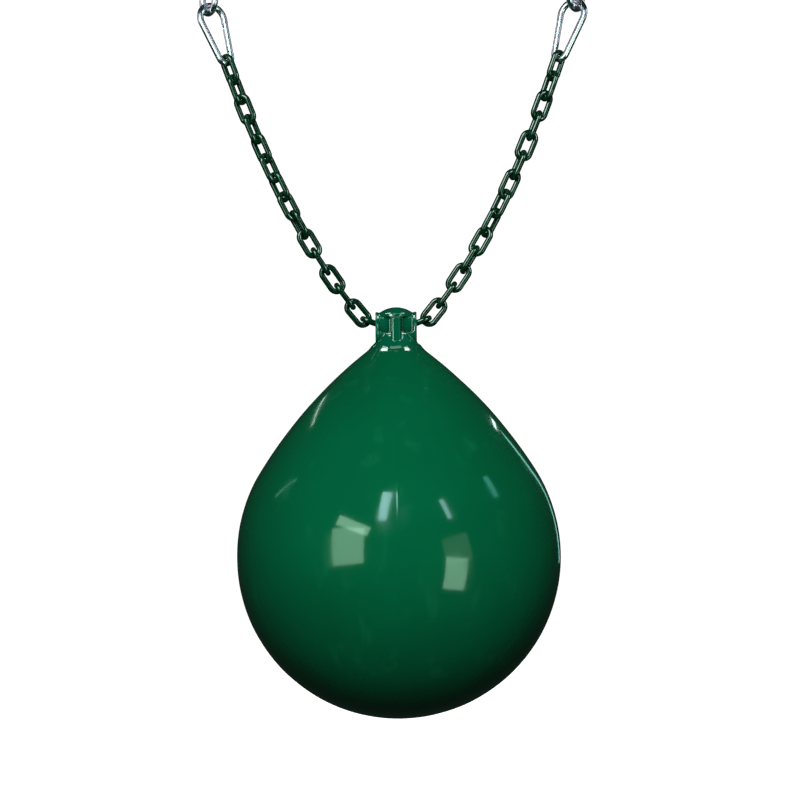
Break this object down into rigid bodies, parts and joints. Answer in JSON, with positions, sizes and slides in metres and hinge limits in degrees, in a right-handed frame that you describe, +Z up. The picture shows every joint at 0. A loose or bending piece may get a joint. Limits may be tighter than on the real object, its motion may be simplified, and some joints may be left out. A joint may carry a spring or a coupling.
{
  "type": "hanging inflatable ball swing",
  "caption": "Pear-shaped inflatable ball hung from a beam by coated chain through a moulded eye, with snap hooks and eye bolts.",
  "frame": {"origin": "midway between the two eye-bolt shanks, on the underside of the beam", "axes": "+Z up, +X across the two hangers, +Y to the back (the valve side)"},
  "size_m": [0.468, 0.3858, 0.993],
  "materials": {
    "ball_vinyl": "glossy green vinyl, a little darker below",
    "eye_vinyl": "glossy green vinyl, thick moulding",
    "coated_chain": "thick glossy dark green plastic dip over welded steel",
    "zinc_steel": "bright zinc plate",
    "spring_steel": "plain spring wire",
    "nylon": "natural nylon",
    "valve_plastic": "black moulded plastic",
    "seal_rubber": "black rubber"
  },
  "bodies": {
    "hangers": {"eye_bolt_left": "zinc_steel", "eye_bolt_right": "zinc_steel", "lower_washers": "zinc_steel", "upper_washers": "zinc_steel", "lock_nuts": "zinc_steel", "nut_inserts": "nylon"},
    "hook_left": {"snap_hook_left": "zinc_steel", "gate_pin_left": "zinc_steel"},
    "gate_left": {"gate_left": "zinc_steel", "latch_pin_left": "zinc_steel", "gate_spring_left": "spring_steel"},
    "link_left_01": {"link_left_01": "coated_chain"},
    "link_left_02": {"link_left_02": "coated_chain"},
    "link_left_03": {"link_left_03": "coated_chain"},
    "link_left_04": {"link_left_04": "coated_chain"},
    "link_left_05": {"link_left_05": "coated_chain"},
    "link_left_06": {"link_left_06": "coated_chain"},
    "link_left_07": {"link_left_07": "coated_chain"},
    "link_left_08": {"link_left_08": "coated_chain"},
    "link_left_09": {"link_left_09": "coated_chain"},
    "link_left_10": {"link_left_10": "coated_chain"},
    "link_left_11": {"link_left_11": "coated_chain"},
    "link_left_12": {"link_left_12": "coated_chain"},
    "link_left_13": {"link_left_13": "coated_chain"},
    "link_left_14": {"link_left_14": "coated_chain"},
    "link_left_15": {"link_left_15": "coated_chain"},
    "hook_right": {"snap_hook_right": "zinc_steel", "gate_pin_right": "zinc_steel"},
    "gate_right": {"gate_right": "zinc_steel", "latch_pin_right": "zinc_steel", "gate_spring_right": "spring_steel"},
    "link_right_01": {"link_right_01": "coated_chain"},
    "link_right_02": {"link_right_02": "coated_chain"},
    "link_right_03": {"link_right_03": "coated_chain"},
    "link_right_04": {"link_right_04": "coated_chain"},
    "link_right_05": {"link_right_05": "coated_chain"},
    "link_right_06": {"link_right_06": "coated_chain"},
    "link_right_07": {"link_right_07": "coated_chain"},
    "link_right_08": {"link_right_08": "coated_chain"},
    "link_right_09": {"link_right_09": "coated_chain"},
    "link_right_10": {"link_right_10": "coated_chain"},
    "link_right_11": {"link_right_11": "coated_chain"},
    "link_right_12": {"link_right_12": "coated_chain"},
    "link_right_13": {"link_right_13": "coated_chain"},
    "link_right_14": {"link_right_14": "coated_chain"},
    "link_right_15": {"link_right_15": "coated_chain"},
    "link_centre": {"link_centre": "coated_chain"},
    "ball": {"ball_shell": "ball_vinyl", "moulded_eye": "eye_vinyl", "valve_body": "valve_plastic"},
    "valve_seal": {"valve_seal": "seal_rubber"},
    "valve_plug": {"valve_plug": "valve_plastic"}
  },
  "joints": [
    {"name": "left_hook_swing", "type": "hinge", "parent": "hangers", "child": "hook_left", "pos_m": [-0.219, 0, -0.03555], "axis": [1, 0, 0], "range_deg": [-22, 22]},
    {"name": "left_gate_hinge", "type": "hinge", "parent": "hook_left", "child": "gate_left", "pos_m": [-0.1952, 0.00602, -0.08293], "axis": [0.585, -0.788, 0.192], "range_deg": [0, 28], "stiffness_Nm_per_rad": 0.05, "springref_deg": -14.32},
    {"name": "left_link_01_bend", "type": "hinge", "parent": "hook_left", "child": "link_left_01", "pos_m": [-0.19905, 0, -0.09591], "axis": [1, 0, 0], "range_deg": [-2, 4]},
    {"name": "left_link_02_bend", "type": "hinge", "parent": "link_left_01", "child": "link_left_02", "pos_m": [-0.19066, 0, -0.11962], "axis": [1, 0, 0], "range_deg": [-4, 4]},
    {"name": "left_link_03_bend", "type": "hinge", "parent": "link_left_02", "child": "link_left_03", "pos_m": [-0.18192, 0, -0.14347], "axis": [1, 0, 0], "range_deg": [-4, 4]},
    {"name": "left_link_04_bend", "type": "hinge", "parent": "link_left_03", "child": "link_left_04", "pos_m": [-0.17282, 0, -0.16718], "axis": [1, 0, 0], "range_deg": [-4, 4]},
    {"name": "left_link_05_bend", "type": "hinge", "parent": "link_left_04", "child": "link_left_05", "pos_m": [-0.16332, 0, -0.19074], "axis": [1, 0, 0], "range_deg": [-4, 4]},
    {"name": "left_link_06_bend", "type": "hinge", "parent": "link_left_05", "child": "link_left_06", "pos_m": [-0.1534, 0, -0.21412], "axis": [1, 0, 0], "range_deg": [-4, 4]},
    {"name": "left_link_07_bend", "type": "hinge", "parent": "link_left_06", "child": "link_left_07", "pos_m": [-0.143, 0, -0.23729], "axis": [1, 0, 0], "range_deg": [-4, 4]},
    {"name": "left_link_08_bend", "type": "hinge", "parent": "link_left_07", "child": "link_left_08", "pos_m": [-0.13211, 0, -0.26024], "axis": [1, 0, 0], "range_deg": [-4, 4]},
    {"name": "left_link_09_bend", "type": "hinge", "parent": "link_left_08", "child": "link_left_09", "pos_m": [-0.12066, 0, -0.28291], "axis": [1, 0, 0], "range_deg": [-4, 4]},
    {"name": "left_link_10_bend", "type": "hinge", "parent": "link_left_09", "child": "link_left_10", "pos_m": [-0.10861, 0, -0.30527], "axis": [1, 0, 0], "range_deg": [-4, 4]},
    {"name": "left_link_11_bend", "type": "hinge", "parent": "link_left_10", "child": "link_left_11", "pos_m": [-0.09589, 0, -0.32725], "axis": [1, 0, 0], "range_deg": [-4, 4]},
    {"name": "left_link_12_bend", "type": "hinge", "parent": "link_left_11", "child": "link_left_12", "pos_m": [-0.08247, 0, -0.34881], "axis": [1, 0, 0], "range_deg": [-4, 4]},
    {"name": "left_link_13_bend", "type": "hinge", "parent": "link_left_12", "child": "link_left_13", "pos_m": [-0.06824, 0, -0.36985], "axis": [1, 0, 0], "range_deg": [-4, 4]},
    {"name": "left_link_14_bend", "type": "hinge", "parent": "link_left_13", "child": "link_left_14", "pos_m": [-0.05317, 0, -0.39029], "axis": [1, 0, 0], "range_deg": [-4, 4]},
    {"name": "left_link_15_bend", "type": "hinge", "parent": "link_left_14", "child": "link_left_15", "pos_m": [-0.03617, 0, -0.40857], "axis": [1, 0, 0], "range_deg": [-4, 4]},
    {"name": "right_hook_swing", "type": "hinge", "parent": "hangers", "child": "hook_right", "pos_m": [0.219, 0, -0.03555], "axis": [1, 0, 0], "range_deg": [-22, 22]},
    {"name": "right_gate_hinge", "type": "hinge", "parent": "hook_right", "child": "gate_right", "pos_m": [0.1952, 0.00602, -0.08293], "axis": [0.585, 0.788, -0.192], "range_deg": [0, 28], "stiffness_Nm_per_rad": 0.05, "springref_deg": -14.32},
    {"name": "right_link_01_bend", "type": "hinge", "parent": "hook_right", "child": "link_right_01", "pos_m": [0.19905, 0, -0.09591], "axis": [1, 0, 0], "range_deg": [-2, 4]},
    {"name": "right_link_02_bend", "type": "hinge", "parent": "link_right_01", "child": "link_right_02", "pos_m": [0.19066, 0, -0.11962], "axis": [1, 0, 0], "range_deg": [-4, 4]},
    {"name": "right_link_03_bend", "type": "hinge", "parent": "link_right_02", "child": "link_right_03", "pos_m": [0.18192, 0, -0.14347], "axis": [1, 0, 0], "range_deg": [-4, 4]},
    {"name": "right_link_04_bend", "type": "hinge", "parent": "link_right_03", "child": "link_right_04", "pos_m": [0.17282, 0, -0.16718], "axis": [1, 0, 0], "range_deg": [-4, 4]},
    {"name": "right_link_05_bend", "type": "hinge", "parent": "link_right_04", "child": "link_right_05", "pos_m": [0.16332, 0, -0.19074], "axis": [1, 0, 0], "range_deg": [-4, 4]},
    {"name": "right_link_06_bend", "type": "hinge", "parent": "link_right_05", "child": "link_right_06", "pos_m": [0.1534, 0, -0.21412], "axis": [1, 0, 0], "range_deg": [-4, 4]},
    {"name": "right_link_07_bend", "type": "hinge", "parent": "link_right_06", "child": "link_right_07", "pos_m": [0.143, 0, -0.23729], "axis": [1, 0, 0], "range_deg": [-4, 4]},
    {"name": "right_link_08_bend", "type": "hinge", "parent": "link_right_07", "child": "link_right_08", "pos_m": [0.13211, 0, -0.26024], "axis": [1, 0, 0], "range_deg": [-4, 4]},
    {"name": "right_link_09_bend", "type": "hinge", "parent": "link_right_08", "child": "link_right_09", "pos_m": [0.12066, 0, -0.28291], "axis": [1, 0, 0], "range_deg": [-4, 4]},
    {"name": "right_link_10_bend", "type": "hinge", "parent": "link_right_09", "child": "link_right_10", "pos_m": [0.10861, 0, -0.30527], "axis": [1, 0, 0], "range_deg": [-4, 4]},
    {"name": "right_link_11_bend", "type": "hinge", "parent": "link_right_10", "child": "link_right_11", "pos_m": [0.09589, 0, -0.32725], "axis": [1, 0, 0], "range_deg": [-4, 4]},
    {"name": "right_link_12_bend", "type": "hinge", "parent": "link_right_11", "child": "link_right_12", "pos_m": [0.08247, 0, -0.34881], "axis": [1, 0, 0], "range_deg": [-4, 4]},
    {"name": "right_link_13_bend", "type": "hinge", "parent": "link_right_12", "child": "link_right_13", "pos_m": [0.06824, 0, -0.36985], "axis": [1, 0, 0], "range_deg": [-4, 4]},
    {"name": "right_link_14_bend", "type": "hinge", "parent": "link_right_13", "child": "link_right_14", "pos_m": [0.05317, 0, -0.39029], "axis": [1, 0, 0], "range_deg": [-4, 4]},
    {"name": "right_link_15_bend", "type": "hinge", "parent": "link_right_14", "child": "link_right_15", "pos_m": [0.03617, 0, -0.40857], "axis": [1, 0, 0], "range_deg": [-4, 4]},
    {"name": "centre_link_bend", "type": "hinge", "parent": "link_left_15", "child": "link_centre", "pos_m": [-0.01245, 0, -0.41767], "axis": [1, 0, 0], "range_deg": [-4, 4]},
    {"name": "ball_rock", "type": "hinge", "parent": "link_centre", "child": "ball", "pos_m": [0, 0, -0.4213], "axis": [1, 0, 0], "range_deg": [-30, 30]},
    {"name": "seal_lift", "type": "slide", "parent": "ball", "child": "valve_seal", "axis": [0, 0.8829, 0.4695], "range_m": [0, 0.006]},
    {"name": "plug_turn", "type": "hinge", "parent": "valve_seal", "child": "valve_plug", "pos_m": [0, 0.17041, -0.59939], "axis": [0, 0.8829, 0.4695], "range_deg": [0, 1081]}
  ],
  "couplings": [
    {"joint": "right_hook_swing", "follows": "left_hook_swing", "ratio": 1},
    {"joint": "right_link_01_bend", "follows": "left_link_01_bend", "ratio": 1},
    {"joint": "right_link_02_bend", "follows": "left_link_02_bend", "ratio": 1},
    {"joint": "right_link_03_bend", "follows": "left_link_03_bend", "ratio": 1},
    {"joint": "right_link_04_bend", "follows": "left_link_04_bend", "ratio": 1},
    {"joint": "right_link_05_bend", "follows": "left_link_05_bend", "ratio": 1},
    {"joint": "right_link_06_bend", "follows": "left_link_06_bend", "ratio": 1},
    {"joint": "right_link_07_bend", "follows": "left_link_07_bend", "ratio": 1},
    {"joint": "right_link_08_bend", "follows": "left_link_08_bend", "ratio": 1},
    {"joint": "right_link_09_bend", "follows": "left_link_09_bend", "ratio": 1},
    {"joint": "right_link_10_bend", "follows": "left_link_10_bend", "ratio": 1},
    {"joint": "right_link_11_bend", "follows": "left_link_11_bend", "ratio": 1},
    {"joint": "right_link_12_bend", "follows": "left_link_12_bend", "ratio": 1},
    {"joint": "right_link_13_bend", "follows": "left_link_13_bend", "ratio": 1},
    {"joint": "right_link_14_bend", "follows": "left_link_14_bend", "ratio": 1},
    {"joint": "right_link_15_bend", "follows": "left_link_15_bend", "ratio": 1},
    {"joint": "plug_turn", "follows": "seal_lift", "rad_per_m": 3141.6}
  ]
}
